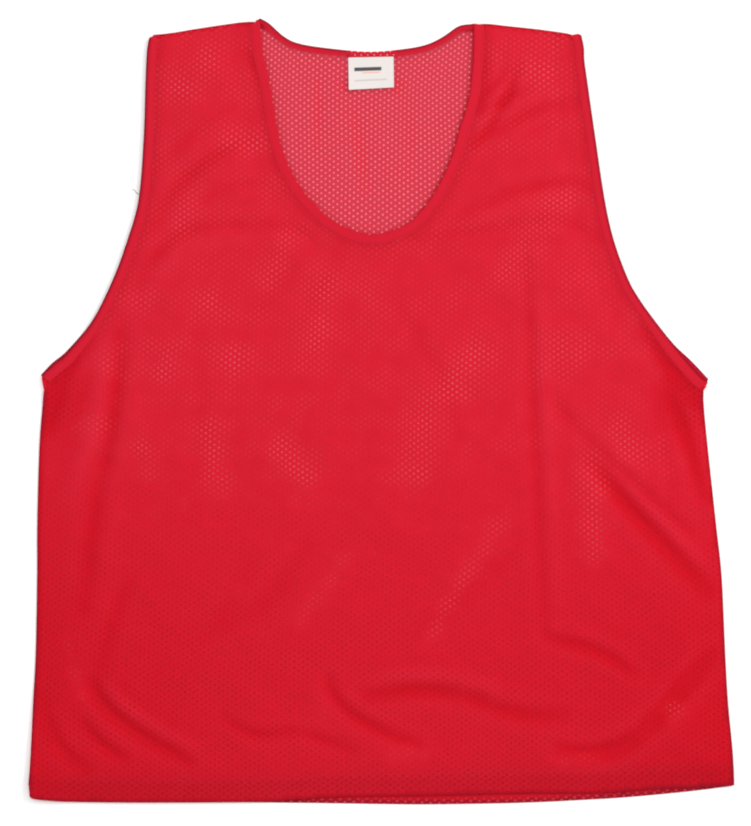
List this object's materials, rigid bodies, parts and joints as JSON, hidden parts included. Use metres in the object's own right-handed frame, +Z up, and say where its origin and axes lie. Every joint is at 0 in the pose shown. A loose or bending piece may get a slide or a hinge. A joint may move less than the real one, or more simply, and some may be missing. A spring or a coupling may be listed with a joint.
{
  "type": "training bib",
  "caption": "Sleeveless scoop-necked mesh training bib laid flat, front up, with bound neck and armholes, a turned hem and a plain neck label.",
  "frame": {"origin": "on the surface it lies on, under the middle of the laid-out bib's outline", "axes": "+Z up, away from the surface and out of the front of the bib; +Y from hem to neck; +X to the wearer's left"},
  "size_m": [0.5584, 0.621, 0.0057],
  "materials": {
    "mesh_cloth": "red knitted polyester mesh with small holes in staggered rows, soft sheen",
    "binding_tape": "red closely knitted tape folded over the edge and stitched down",
    "label_tape": "off-white woven label, matt"
  },
  "bodies": {
    "root": {"front_panel": "mesh_cloth", "back_panel": "mesh_cloth", "neck_binding_front": "binding_tape", "neck_binding_back_left": "binding_tape", "neck_binding_back_right": "binding_tape", "armhole_binding_left_front": "binding_tape", "armhole_binding_left_back": "binding_tape", "armhole_binding_right_front": "binding_tape", "armhole_binding_right_back": "binding_tape", "neck_label": "label_tape"}
  },
  "joints": []
}
